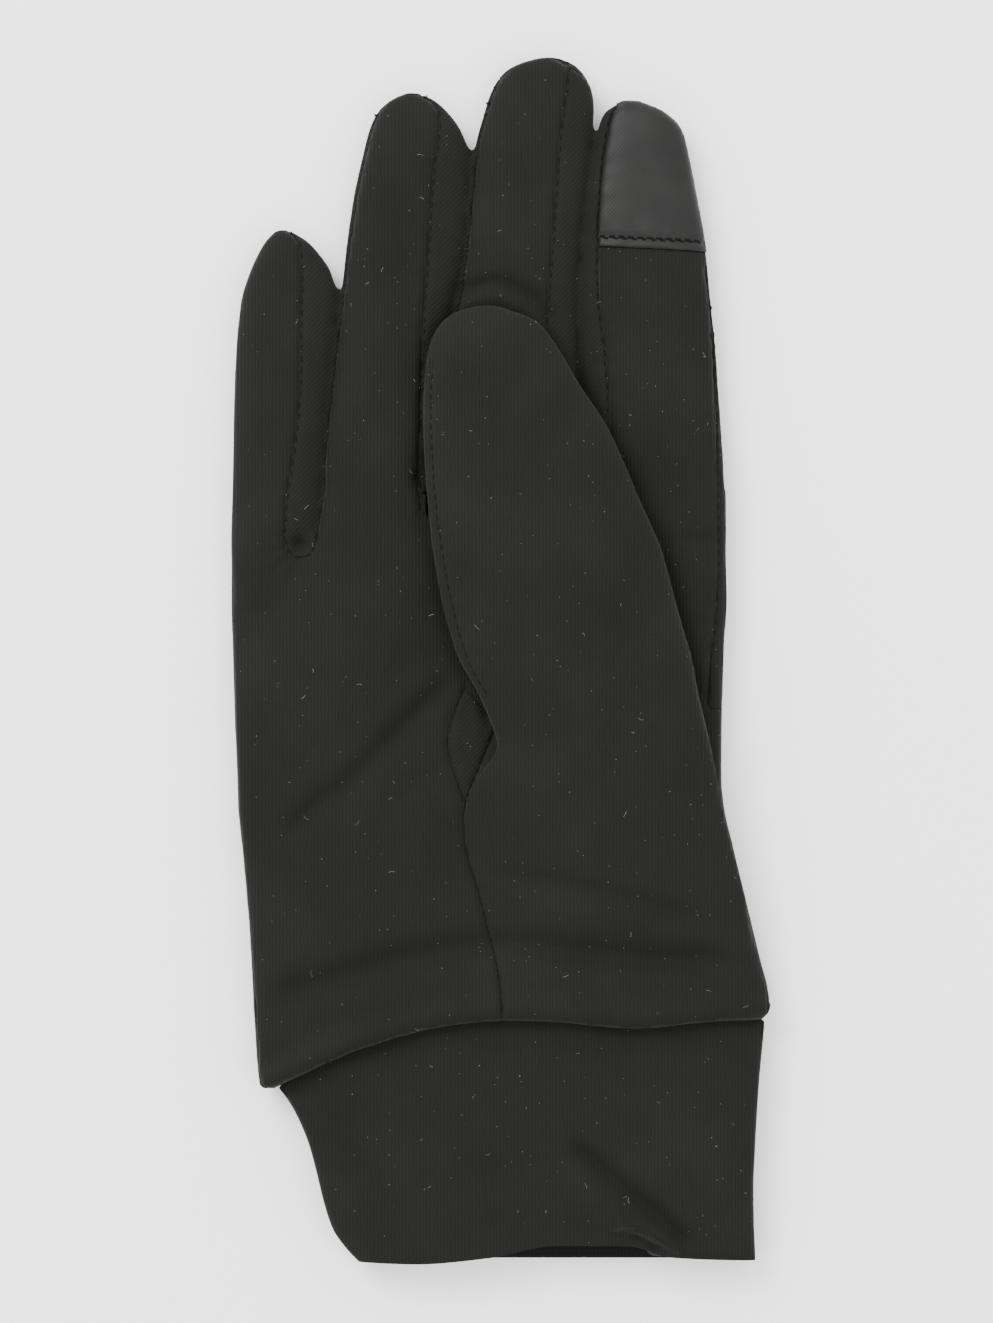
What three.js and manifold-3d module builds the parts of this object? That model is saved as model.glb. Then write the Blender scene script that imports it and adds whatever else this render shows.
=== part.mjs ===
// A knitted glove liner for a right hand, lying on its back with the palm side up.
// X runs from the little finger to the index finger, Y from the cuff to the fingertips, Z up.
// Every panel is a cut from one hollow shell, with a narrow seam gap between neighbours.
import * as THREE from 'three';
import { mergeVertices } from 'three/addons/utils/BufferGeometryUtils.js';
import Module from 'manifold-3d';

const wasm = await Module();
wasm.setup();

// Cloth, in millimetres
const wall = 1.1; // knit of the hand, fingers and thumb
const cuffWall = 1.6; // the cuff is two layers
const seamGap = 0.3; // between pieces that are sewn together
const tuckGap = 0.26; // between the hem and the cuff inside it
const layGap = 0.5; // between the thumb and the palm that it lies on
const seamHeight = 4.2; // height above the table at which the sections are widest
const rimHeight = 6.6; // where the palm side is sewn to the back panel
const stripHeight = 1.8; // where the side strips are sewn to the back panel

// Hand
const palmLength = 100; // wrist hem to the roots of the fingers
const palmThickness = 9.8;
const underThumbThickness = 8.5; // under the thumb, and where the fingers begin
const hemDrop = 13.6; // the hem hangs lower on the little finger's side
const hemDip = 1.6; // and a little below the thumb
const hemOverhang = 4; // how far the cuff reaches up inside the hem

// Cuff
const cuffLength = 48.4;
const cuffWidth = 97.8; // just below the hem
const cuffThickness = 9.5;

// Fingers
const fingerSizes = {
  little: { length: 65.9, width: 20, thickness: 8.4, lean: 3.0 },
  ring: { length: 87.4, width: 22, thickness: 8.5, lean: 6.5 },
  middle: { length: 87.2, width: 24, thickness: 8.5, lean: 6.0 },
  index: { length: 77.6, width: 24, thickness: 8.5, lean: -3.0 },
};
const patchLength = 28.6; // touch patch, from the fingertip to its raw edge
const patchSlant = 1.8; // the raw edge ends lower on the outer side

// Thumb
const thumbLength = 83.6; // crotch to tip
const thumbWidth = 42.4;
const thumbThickness = 7.8;
const thumbLean = 15.4;

// How round the sections are: 2 is an ellipse, more is flatter with tighter edges
const handRoundness = 4.2;
const fingerRoundness = 2.7;
const cuffRoundness = 4.6;
const undersideFlatness = 1.35;
const tipWidth = 0.3; // a hollow that runs out at a tip ends this wide
const tipThickness = 0.1; // and this thick above and below its seam

// How many facets each section has across
const handColumns = 16;
const cuffColumns = 14;
const fingerColumns = 8;
const thumbColumns = 10;

// Colours
const knitColour = 0x2e2e2d;
const patchColour = 0x4a4a4a;

// Root of each finger: its width there as a share of the finger's width,
// and the height of its middle as a share of the palm's length
const fingerRoots = {
  little: { width: 0.69, along: 0.926 },
  ring: { width: 1.155, along: 0.99 },
  middle: { width: 1.29, along: 1.063 },
  index: { width: 1.21, along: 1.065 },
};

// Finger sections. along: share of the length; left, right: shares of the width, from the
// finger's axis to its edges; height: share of the thickness
const fingerSections = {
  little: [
    { along: -0.15, left: 0.28, right: 0.34, height: 0.95 },
    { along: 0.05, left: 0.354, right: 0.4, height: 1 },
    { along: 0.33, left: 0.382, right: 0.508, height: 1 },
    { along: 0.48, left: 0.399, right: 0.541, height: 1 },
    { along: 0.63, left: 0.405, right: 0.575, height: 1 },
    { along: 0.78, left: 0.382, right: 0.588, height: 0.98 },
    { along: 0.87, left: 0.308, right: 0.512, height: 0.9 },
    { along: 0.93, left: 0.228, right: 0.372, height: 0.77 },
    { along: 0.965, left: 0.164, right: 0.256, height: 0.62 },
    { along: 1, left: 0.06, right: 0.06, height: 0.3 },
  ],
  ring: [
    { along: -0.12, left: 0.5, right: 0.5, height: 1 },
    { along: 0.06, left: 0.403, right: 0.54, height: 1 },
    { along: 0.17, left: 0.428, right: 0.548, height: 1 },
    { along: 0.4, left: 0.441, right: 0.57, height: 1 },
    { along: 0.63, left: 0.444, right: 0.628, height: 1 },
    { along: 0.75, left: 0.432, right: 0.618, height: 1 },
    { along: 0.85, left: 0.392, right: 0.594, height: 0.97 },
    { along: 0.91, left: 0.36, right: 0.495, height: 0.86 },
    { along: 0.956, left: 0.298, right: 0.347, height: 0.7 },
    { along: 0.985, left: 0.18, right: 0.2, height: 0.5 },
    { along: 1, left: 0.06, right: 0.06, height: 0.3 },
  ],
  middle: [
    { along: -0.12, left: 0.58, right: 0.58, height: 1 },
    { along: 0.09, left: 0.602, right: 0.585, height: 1 },
    { along: 0.2, left: 0.596, right: 0.535, height: 1 },
    { along: 0.43, left: 0.56, right: 0.452, height: 1 },
    { along: 0.55, left: 0.526, right: 0.421, height: 1 },
    { along: 0.78, left: 0.54, right: 0.433, height: 1 },
    { along: 0.87, left: 0.494, right: 0.431, height: 0.95 },
    { along: 0.92, left: 0.453, right: 0.397, height: 0.85 },
    { along: 0.965, left: 0.362, right: 0.296, height: 0.68 },
    { along: 0.988, left: 0.22, right: 0.19, height: 0.48 },
    { along: 1, left: 0.06, right: 0.06, height: 0.3 },
  ],
  index: [
    { along: -0.12, left: 0.54, right: 0.6, height: 0.95 },
    { along: 0.1, left: 0.588, right: 0.604, height: 1 },
    { along: 0.23, left: 0.566, right: 0.597, height: 1 },
    { along: 0.48, left: 0.522, right: 0.57, height: 1 },
    { along: 0.61, left: 0.483, right: 0.551, height: 1 },
    { along: 0.74, left: 0.419, right: 0.498, height: 0.98 },
    { along: 0.87, left: 0.339, right: 0.436, height: 0.9 },
    { along: 0.923, left: 0.305, right: 0.403, height: 0.8 },
    { along: 0.974, left: 0.238, right: 0.254, height: 0.62 },
    { along: 1, left: 0.1, right: 0.06, height: 0.35 },
  ],
};

// Seams of the side strips on the palm side. along: share of the finger's length;
// across: share of the way from the axis to that edge
const rightSeams = {
  little: [
    { along: -0.02, across: 0.3 },
    { along: 0.08, across: 0.41 },
    { along: 0.26, across: 0.45 },
    { along: 0.48, across: 0.48 },
    { along: 0.78, across: 0.4 },
    { along: 0.87, across: 0.43 },
    { along: 0.965, across: 0.65 },
    { along: 1, across: 0.9 },
  ],
  ring: [
    { along: 0.02, across: 0.93 },
    { along: 0.08, across: 0.9 },
    { along: 0.17, across: 0.79 },
    { along: 0.29, across: 0.72 },
    { along: 0.43, across: 0.62 },
    { along: 0.63, across: 0.5 },
    { along: 0.82, across: 0.46 },
    { along: 0.91, across: 0.58 },
    { along: 0.956, across: 0.74 },
    { along: 1, across: 0.95 },
  ],
  middle: [
    { along: -0.02, across: 0.5 },
    { along: 0.39, across: 0.46 },
    { along: 0.53, across: 0.46 },
    { along: 0.67, across: 0.42 },
    { along: 0.83, across: 0.38 },
    { along: 0.92, across: 0.45 },
    { along: 0.955, across: 0.55 },
    { along: 1, across: 0.9 },
  ],
};
const leftSeams = {
  ring: [
    { along: -0.1, across: 0.9 },
    { along: 0.05, across: 0.86 },
    { along: 0.9, across: 0.86 },
    { along: 0.97, across: 0.98 },
  ],
  middle: [
    { along: -0.04, across: 0.84 },
    { along: 0.9, across: 0.86 },
    { along: 0.97, across: 0.98 },
  ],
  index: [
    { along: -0.02, across: 0.6 },
    { along: 0.2, across: 0.59 },
    { along: 0.36, across: 0.62 },
    { along: 0.48, across: 0.71 },
    { along: 0.64, across: 0.75 },
    { along: 0.87, across: 0.78 },
    { along: 0.92, across: 0.73 },
    { along: 0.99, across: 0.7 },
  ],
};

// Palm sections. along: share of the palm's length from the hem to the fork line;
// left, right: shares of the hand's width from the hand's axis to its edges
const palmSections = [
  { along: 0, left: 0.462, right: 0.54 },
  { along: 0.02, left: 0.487, right: 0.547 },
  { along: 0.06, left: 0.493, right: 0.543 },
  { along: 0.11, left: 0.498, right: 0.53 },
  { along: 0.22, left: 0.508, right: 0.503 },
  { along: 0.36, left: 0.525, right: 0.469 },
  { along: 0.42, left: 0.531, right: 0.455 },
  { along: 0.48, left: 0.533, right: 0.449 },
  { along: 0.6, left: 0.538, right: 0.45 },
  { along: 0.76, left: 0.543, right: 0.455 },
  { along: 0.84, left: 0.545, right: 0.46 },
  { along: 0.92, left: 0.545, right: 0.458 },
];

// The line of the finger forks, where the palm ends. across: share of the hand's width from
// the axis; along: share of the palm's length
const forkLine = [
  { across: -0.545, along: 0.94 },
  { across: -0.406, along: 0.924 },
  { across: -0.278, along: 1.0 },
  { across: -0.15, along: 1.056 },
  { across: 0.005, along: 1.066 },
  { across: 0.16, along: 1.07 },
  { across: 0.46, along: 1.06 },
];
// The strip's round bottom in each fork, as shares of the width of the finger on its left
const forkRadii = { little: 0.16, ring: 0.136, middle: 0.208 };

// Thumb sections. along: share of the length from the crotch; left, right: shares of the width;
// under: height of the underside as a share of the height that the thumb lies at;
// height: share of the thickness; roundness: 2 is an ellipse, more is flatter
const thumbSections = [
  { along: -0.58, left: 0.81, right: 0.405, under: 0.6, height: 0.32, roundness: 2 },
  { along: -0.555, left: 0.81, right: 0.41, under: 0.6, height: 0.56, roundness: 2 },
  { along: -0.49, left: 0.813, right: 0.427, under: 0.6, height: 0.7, roundness: 2 },
  { along: -0.3, left: 0.808, right: 0.449, under: 0.6, height: 1.02, roundness: 2 },
  { along: -0.19, left: 0.76, right: 0.457, under: 0.6, height: 1.16, roundness: 2.2 },
  { along: -0.12, left: 0.655, right: 0.468, under: 0.68, height: 1.17, roundness: 2.4 },
  { along: -0.036, left: 0.528, right: 0.476, under: 0.8, height: 1.13, roundness: 2.7 },
  { along: 0.06, left: 0.55, right: 0.481, under: 0.95, height: 1.03, roundness: 2.7 },
  { along: 0.18, left: 0.606, right: 0.498, under: 1, height: 1, roundness: 2.7 },
  { along: 0.25, left: 0.609, right: 0.495, under: 1, height: 1, roundness: 2.7 },
  { along: 0.395, left: 0.588, right: 0.497, under: 1, height: 1, roundness: 2.7 },
  { along: 0.54, left: 0.542, right: 0.457, under: 1, height: 1, roundness: 2.7 },
  { along: 0.706, left: 0.471, right: 0.402, under: 1, height: 1, roundness: 2.7 },
  { along: 0.813, left: 0.408, right: 0.323, under: 1, height: 0.97, roundness: 2.7 },
  { along: 0.909, left: 0.328, right: 0.262, under: 1, height: 0.88, roundness: 2.7 },
  { along: 0.945, left: 0.275, right: 0.23, under: 1.01, height: 0.78, roundness: 2.7 },
  { along: 0.97, left: 0.22, right: 0.181, under: 1.03, height: 0.66, roundness: 2.7 },
  { along: 0.988, left: 0.148, right: 0.097, under: 1.06, height: 0.5, roundness: 2.7 },
  { along: 1, left: 0.05, right: 0.04, under: 1.1, height: 0.3, roundness: 2.7 },
];
// Where the thumb's axis crosses the crotch, as shares of the hand's width and palm's length
const thumbRoot = { across: 0.2098, along: 0.59 };

// Seam of the thumb panel down the palm, from the crotch to the wrist, and the gusset's corners.
// across: share of the hand's width from the axis; along: share of the palm's length
const thumbSeam = [
  { across: -0.007, along: 0.59 },
  { across: -0.071, along: 0.43 },
  { across: -0.075, along: 0.4 },
  { across: -0.069, along: 0.34 },
  { across: -0.045, along: 0.26 },
  { across: -0.025, along: 0.18 },
  { across: -0.001, along: 0.07 },
  { across: 0.011, along: -0.1 },
];
const crotchLine = [
  { across: 0.7, along: 0.36 },
  { across: 0.45, along: 0.44 },
];
const gussetCorners = [
  { across: -0.071, along: 0.43 },
  { across: -0.107, along: 0.56 },
  { across: -0.071, along: 0.67 },
  { across: -0.007, along: 0.59 },
];

// Folds and dents of the palm's upper side. from, to: where each runs, as shares of the hand's
// width and the palm's length; depth: share of the palm's thickness, less than 0 for a ridge;
// spread: half width as a share of the hand's width
const palmFolds = {
  heelCrease: { from: [-0.07, 0.69], to: [-0.38, 0.41], depth: 0.16, spread: 0.05 },
  wristValley: { from: [-0.3, 0.08], to: [0.45, 0.11], depth: 0.16, spread: 0.035 },
  wristRidge: { from: [-0.35, 0.01], to: [0.5, 0.01], depth: -0.14, spread: 0.035 },
  gussetHollow: { from: [-0.09, 0.58], to: [-0.02, 0.58], depth: 0.2, spread: 0.04 },
  littleFork: { from: [-0.406, 0.93], to: [-0.4, 0.9], depth: 0.08, spread: 0.03 },
  ringFork: { from: [-0.15, 1.05], to: [-0.15, 1.0], depth: 0.06, spread: 0.03 },
};

// Cuff sections. along: share of the length below the hem; left, right: shares of the width;
// height: share of the thickness
const cuffSections = [
  { along: 0, left: 0.457, right: 0.543, height: 1 },
  { along: 0.1, left: 0.437, right: 0.539, height: 1 },
  { along: 0.25, left: 0.412, right: 0.532, height: 0.98 },
  { along: 0.4, left: 0.392, right: 0.527, height: 0.97 },
  { along: 0.55, left: 0.377, right: 0.523, height: 0.98 },
  { along: 0.7, left: 0.363, right: 0.52, height: 1 },
  { along: 0.85, left: 0.343, right: 0.521, height: 1 },
  { along: 0.95, left: 0.314, right: 0.523, height: 0.98 },
  { along: 1, left: 0.293, right: 0.524, height: 0.94 },
];
const cuffFolds = {
  diagonalCrease: { from: [0.18, 0.6], to: [0.36, 0.95], depth: 0.17, spread: 0.045 },
  mouthFold: { from: [0.2, 0.93], to: [0.3, 0.97], depth: 0.1, spread: 0.03 },
  hemHollow: { from: [-0.35, 0.12], to: [0.45, 0.12], depth: 0.05, spread: 0.05 },
};

const radians = Math.PI / 180;
const thumbLies = underThumbThickness + layGap;
const fingerNames = Object.keys(fingerSizes);
const handWidth = fingerNames.reduce(
  (sum, name) => sum + fingerSizes[name].width * fingerRoots[name].width, 0);
const handLeft = forkLine[0].across * handWidth;

const smooth = (edge0, edge1, value) => THREE.MathUtils.smoothstep(value, edge0, edge1);

// A value from a table, straight between its rows
function lookUp(rows, key, column, value) {
  const last = rows.length - 1;
  if (value <= rows[0][key]) return rows[0][column];
  if (value >= rows[last][key]) return rows[last][column];
  const next = rows.findIndex((row) => row[key] >= value);
  const before = rows[next - 1];
  const after = rows[next];
  const share = (value - before[key]) / (after[key] - before[key]);
  return THREE.MathUtils.lerp(before[column], after[column], share);
}

// How deep the folds of a table are at a point, as a share of the thickness
function foldDepth(folds, x, y, width, length) {
  let depth = 0;
  for (const fold of Object.values(folds)) {
    const line = new THREE.Line3(
      new THREE.Vector3(fold.from[0] * width, fold.from[1] * length, 0),
      new THREE.Vector3(fold.to[0] * width, fold.to[1] * length, 0));
    const point = new THREE.Vector3(x, y, 0);
    const nearest = line.closestPointToPoint(point, true, new THREE.Vector3());
    const distance = nearest.distanceTo(point) / (fold.spread * width);
    depth += fold.depth * Math.exp(-distance * distance);
  }
  return depth;
}

// Height of the palm's upper side, lower under the thumb and towards the fingers
function palmTop(x, y) {
  const across = x / handWidth;
  const along = y / palmLength;
  const underThumb = smooth(-0.3, -0.12, across) * smooth(0.35, 0.6, along);
  const lower = Math.max(underThumb, smooth(0.6, 0.92, along));
  const flat = THREE.MathUtils.lerp(palmThickness, underThumbThickness, lower);
  return flat - palmThickness * foldDepth(palmFolds, x, y, handWidth, palmLength);
}

// How far the hem lies below the wrist line
function hemOffset(x) {
  const across = x / handWidth;
  const littleSide = Math.min(0, across - 0.03) / 0.48;
  const thumbSide = Math.exp(-(((across - 0.27) / 0.12) ** 2));
  return -hemDrop * littleSide * littleSide - hemDip * thumbSide;
}

// One closed ring of points round a flat section. The station gives its edges, its height over
// the table and, where it isn't straight, how y changes across it.
function sectionRing(station, inset, columns, roundness) {
  const left = station.left + inset;
  const right = Math.max(station.right - inset, left + tipWidth);
  const centre = (left + right) / 2;
  const half = (right - left) / 2;
  const seam = station.seam;
  const place = (share, upper) => {
    const x = centre + half * share;
    const y = station.yAt(x);
    const round = (1 - Math.abs(share) ** roundness) ** (1 / roundness);
    const rise = Math.max(station.top(x, y) - inset - seam, tipThickness);
    const fall = Math.max(seam - station.under - inset, tipThickness);
    const z = upper ? seam + rise * round : seam - fall * Math.min(1, undersideFlatness * round);
    return new THREE.Vector3(x, y, z);
  };
  const shares = [];
  for (let column = 0; column <= columns; column += 1) {
    const even = -1 + 2 * column / columns;
    shares.push((even - Math.cos(Math.PI * column / columns)) / 2);
  }
  const upper = shares.map((share) => place(share, true));
  // The underside lies flat, so it takes every other point
  const lower = shares.filter((_, column) => column % 2 === 1).reverse();
  return [...upper, ...lower.map((share) => place(share, false))];
}

// Triangles across the end of a ring, marching from its left corner to its right one
function capTriangles(ring) {
  const count = ring.length;
  const right = ring.reduce((best, point, index) => (point.x > ring[best].x ? index : best), 0);
  const triangles = [];
  let top = 0;
  let bottom = count;
  while (top < right || bottom > right) {
    if (bottom <= right || (top < right && ring[top + 1].x <= ring[bottom - 1].x)) {
      triangles.push([bottom % count, top, top + 1]);
      top += 1;
    } else {
      triangles.push([top, bottom - 1, bottom % count]);
      bottom -= 1;
    }
  }
  return triangles.filter((corners) => new Set(corners).size === 3);
}

// A closed mesh through rings that all have the same number of points
function loft(rings) {
  const count = rings[0].length;
  const points = rings.flat();
  const triangles = [];
  for (let ring = 0; ring + 1 < rings.length; ring += 1) {
    for (let side = 0; side < count; side += 1) {
      const a = ring * count + side;
      const b = ring * count + (side + 1) % count;
      triangles.push(a, b, b + count, a, b + count, a + count);
    }
  }
  for (const [a, b, c] of capTriangles(rings[0])) triangles.push(a, c, b);
  const last = (rings.length - 1) * count;
  for (const corners of capTriangles(rings[rings.length - 1])) {
    triangles.push(...corners.map((corner) => corner + last));
  }
  const geometry = new THREE.BufferGeometry().setFromPoints(points);
  geometry.setIndex(triangles);
  return toSolid(geometry);
}

function toSolid(geometry) {
  geometry.deleteAttribute('normal');
  geometry.deleteAttribute('uv');
  const merged = mergeVertices(geometry);
  return new wasm.Manifold(new wasm.Mesh({
    numProp: 3,
    vertProperties: new Float32Array(merged.attributes.position.array),
    triVerts: new Uint32Array(merged.index.array),
  }));
}

// An upright prism over an outline in the plane of the table
function prism(outline, bottom, top) {
  const shape = new THREE.Shape(outline.map(([x, y]) => new THREE.Vector2(x, y)));
  const geometry = new THREE.ExtrudeGeometry(shape, { depth: top - bottom, bevelEnabled: false });
  geometry.translate(0, 0, bottom);
  return toSolid(geometry);
}

// Where a finger's axis and edges lie
function fingerFrame(name) {
  let x = handLeft;
  for (const before of fingerNames.slice(0, fingerNames.indexOf(name))) {
    x += fingerSizes[before].width * fingerRoots[before].width;
  }
  const { length, width, lean } = fingerSizes[name];
  const rootX = x + width * fingerRoots[name].width / 2;
  const rootY = palmLength * fingerRoots[name].along;
  const rise = Math.cos(lean * radians);
  const drift = Math.sin(lean * radians);
  const axisX = (along) => rootX + length * along * drift;
  return {
    axisX,
    y: (along) => rootY + length * along * rise,
    left: (along) => axisX(along) - width * lookUp(fingerSections[name], 'along', 'left', along),
    right: (along) => axisX(along) + width * lookUp(fingerSections[name], 'along', 'right', along),
  };
}

function fingerSolid(name, inset) {
  const frame = fingerFrame(name);
  const { length, thickness } = fingerSizes[name];
  const rings = fingerSections[name].map((row) => {
    const tipShare = smooth(0.6, 1, row.along);
    const y = frame.y(row.along) - inset * tipShare;
    const station = {
      left: frame.left(row.along),
      right: frame.right(row.along),
      seam: seamHeight,
      under: seamHeight * (1 - Math.min(1, row.height * 1.15)),
      top: () => seamHeight + (thickness - seamHeight) * row.height,
      yAt: () => y,
    };
    const roundness = THREE.MathUtils.lerp(handRoundness, fingerRoundness,
      smooth(-0.1, 0.3, row.along));
    return sectionRing(station, inset, fingerColumns, roundness);
  });
  return loft(rings);
}

function palmStation(row) {
  const hemShare = 1 - smooth(0, 0.34, row.along);
  return {
    left: -handWidth * row.left,
    right: handWidth * row.right,
    seam: seamHeight,
    under: 0,
    top: palmTop,
    yAt: (x) => palmLength * row.along + hemOffset(x) * hemShare,
  };
}

// The palm's last two sections follow the line of the forks
function forkStation(setBack) {
  const last = palmSections[palmSections.length - 1];
  const forkY = (x) => palmLength * lookUp(forkLine, 'across', 'along', x / handWidth);
  return { ...palmStation(last), yAt: (x) => forkY(x) - setBack };
}

function palmSolid(inset, wristReach) {
  const rings = palmSections.map((row) => {
    const station = palmStation(row);
    return sectionRing(station, inset, handColumns, handRoundness);
  });
  if (wristReach > 0) {
    const station = palmStation(palmSections[0]);
    const mouth = { ...station, yAt: (x) => station.yAt(x) - wristReach };
    rings.unshift(sectionRing(mouth, inset, handColumns, handRoundness));
  }
  rings.push(sectionRing(forkStation(inset), inset, handColumns, handRoundness));
  return loft(rings);
}

function thumbAxisX(along) {
  return thumbRoot.across * handWidth - thumbLength * along * Math.tan(thumbLean * radians);
}

function thumbSolid(inset) {
  const rings = thumbSections.map((row) => {
    const axis = thumbAxisX(row.along);
    const y = thumbRoot.along * palmLength + thumbLength * row.along
      - inset * smooth(0.6, 1, row.along);
    const under = thumbLies * row.under;
    const top = under + thumbThickness * row.height;
    const station = {
      left: axis - thumbWidth * row.left,
      right: axis + thumbWidth * row.right,
      seam: (under + top) / 2,
      under,
      top: () => top,
      yAt: () => y,
    };
    return sectionRing(station, inset, thumbColumns, row.roundness);
  });
  return loft(rings);
}

function cuffSolid(inset, mouthReach) {
  const top = (row) => (x, y) => {
    const below = -y / cuffLength;
    const folds = foldDepth(cuffFolds, x, below * cuffLength, cuffWidth, cuffLength);
    return cuffThickness * (row.height - folds);
  };
  const start = 2 * seamGap;
  const yOf = (along) => (x) => -start - (cuffLength - start) * along + hemOffset(x) * (1 - along);
  const stations = cuffSections.map((row) => ({
    left: -cuffWidth * row.left,
    right: cuffWidth * row.right,
    seam: cuffThickness / 2,
    under: row.along < 0.05 ? wall + seamGap : 0,
    top: top(row),
    yAt: yOf(row.along),
  }));
  const rings = stations.map((station) => sectionRing(station, inset, cuffColumns, cuffRoundness));
  // The top of the cuff follows the inside of the hem
  const hem = palmStation(palmSections[0]);
  const moved = (station, by) => ({ ...station, yAt: (x) => station.yAt(x) + by });
  const tucked = [moved(hem, -seamGap / 2), moved(hem, hemOverhang)];
  for (const station of tucked) {
    rings.unshift(sectionRing(station, wall + seamGap + inset, cuffColumns, handRoundness));
  }
  if (mouthReach > 0) {
    const last = stations[stations.length - 1];
    rings.push(sectionRing(moved(last, -mouthReach), inset, cuffColumns, cuffRoundness));
    rings.unshift(sectionRing(moved(tucked[1], mouthReach), wall + seamGap + inset,
      cuffColumns, handRoundness));
  }
  return loft(rings.reverse());
}

// Outline of one side of a finger in plan, from its seam out past its edge
const armSteps = 12;
const pastEdge = 1;
const pastTip = 0.5;
const forkSides = 10;
function armOutline(name, side, grow) {
  const frame = fingerFrame(name);
  const rows = side === 'right' ? rightSeams[name] : leftSeams[name];
  const sign = side === 'right' ? 1 : -1;
  const edge = (along) => (side === 'right' ? frame.right(along) : frame.left(along));
  const first = rows[0].along;
  const last = rows[rows.length - 1].along;
  const inner = [];
  const outer = [];
  for (let step = 0; step <= armSteps; step += 1) {
    const along = THREE.MathUtils.lerp(first, last, step / armSteps);
    const across = lookUp(rows, 'along', 'across', along);
    const x = frame.axisX(along) + (edge(along) - frame.axisX(along)) * across;
    inner.push([x - sign * grow, frame.y(along)]);
    outer.unshift([edge(along) + sign * pastEdge, frame.y(along)]);
  }
  const tip = inner[inner.length - 1];
  const end = tip[1] + grow + pastTip;
  inner.push([tip[0], end]);
  outer.unshift([outer[0][0], end]);
  return [...inner, ...outer];
}

// Round patch of the strip at the bottom of a fork, halfway between the two fingers
function forkOutline(name, next, grow) {
  const x = (fingerFrame(name).right(0) + fingerFrame(next).left(0)) / 2;
  const fork = forkLine[1 + 2 * fingerNames.indexOf(name)];
  const bottom = fingerSizes[name].width * forkRadii[name];
  const y = palmLength * fork.along + bottom / 4;
  const radius = bottom + grow;
  const points = [];
  for (let step = 0; step < forkSides; step += 1) {
    const angle = Math.PI * 2 * step / forkSides;
    points.push([x + radius * Math.cos(angle), y + radius * Math.sin(angle)]);
  }
  return points;
}

// Corners closer than this are one, and triangles flatter than this are turned
const mergeDistance = 0.006;
const sliverHeight = 0.004;

const upperBottom = rimHeight + seamGap / 2;
const stripBottom = stripHeight + seamGap / 2;
const clearTop = 60; // above everything
const clearEnd = 20; // how far a hollow runs on past an open end

// The strip between two fingers: the side of one, the fork and the side of the next
function fourchetteCutter(name, next, grow) {
  const bottom = stripBottom - grow;
  return prism(armOutline(name, 'right', grow), bottom, clearTop)
    .add(prism(armOutline(next, 'left', grow), bottom, clearTop))
    .add(prism(forkOutline(name, next, grow), bottom, clearTop));
}

const inPlan = (row) => [row.across * handWidth, row.along * palmLength];

function shifted(points, byX, byY) {
  return points.map(([x, y]) => [x + byX, y + byY]);
}

// The base of the thumb panel, right of its seam and below the crotch
function thumbBaseCutter(grow) {
  const seam = shifted(thumbSeam.map(inPlan), -grow, 0);
  const side = crotchLine.map(inPlan);
  seam[0][1] += grow;
  const wrist = [side[0][0], -palmLength * 0.3];
  const outline = [...seam, wrist, ...shifted(side, 0, grow)];
  return prism(outline, upperBottom - grow, clearTop);
}

// A corner moves out further than the sides that meet there
const cornerGrowth = 1.6;

function gussetCutter(grow) {
  const corners = gussetCorners.map(inPlan);
  const middle = corners.reduce((sum, [x, y]) => [sum[0] + x / 4, sum[1] + y / 4], [0, 0]);
  const outline = corners.map(([x, y]) => {
    const away = new THREE.Vector2(x - middle[0], y - middle[1]);
    away.setLength(away.length() + grow * cornerGrowth);
    return [middle[0] + away.x, middle[1] + away.y];
  });
  return prism(outline, upperBottom - grow, clearTop);
}

// The end of the index finger above the patch's raw edge, right of the strip's seam
function patchCutter(grow) {
  const frame = fingerFrame('index');
  const edge = frame.y(1) - patchLength - grow;
  const { width } = fingerSizes.index;
  const left = frame.axisX(1) - width * 0.3;
  const right = frame.axisX(1) + width;
  const above = frame.y(1) + width;
  const outline = [[left, edge + patchSlant / 2], [right, edge - patchSlant / 2],
    [right, above], [left, above]];
  return prism(outline, upperBottom - grow, clearTop);
}

function slab(bottom, top) {
  const reach = palmLength + cuffLength + fingerSizes.middle.length + handWidth;
  const outline = [[-reach, -reach], [reach, -reach], [reach, reach], [-reach, reach]];
  return prism(outline, bottom, top);
}

// Triangles as lists of three corners, without those that shrank to a line
function trianglesOf(geometry) {
  const corners = Array.from(geometry.index.array);
  const triangles = [];
  for (let first = 0; first < corners.length; first += 3) {
    const triangle = corners.slice(first, first + 3);
    if (new Set(triangle).size === 3) triangles.push(triangle);
  }
  return triangles;
}

// The largest body: a cut can leave crumbs beside the panel, which are swept away
function largestBody(triangles, points) {
  const owner = points.map((_, index) => index);
  const find = (index) => {
    let root = index;
    while (owner[root] !== root) root = owner[root];
    owner[index] = root;
    return root;
  };
  for (const [a, b, c] of triangles) {
    owner[find(a)] = find(b);
    owner[find(c)] = find(b);
  }
  const volumes = new Map();
  for (const [a, b, c] of triangles) {
    const volume = points[a].dot(points[b].clone().cross(points[c])) / 6;
    volumes.set(find(a), (volumes.get(find(a)) ?? 0) + volume);
  }
  const [main] = [...volumes].sort((one, other) => other[1] - one[1])[0];
  return triangles.filter(([a]) => find(a) === main);
}

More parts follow.
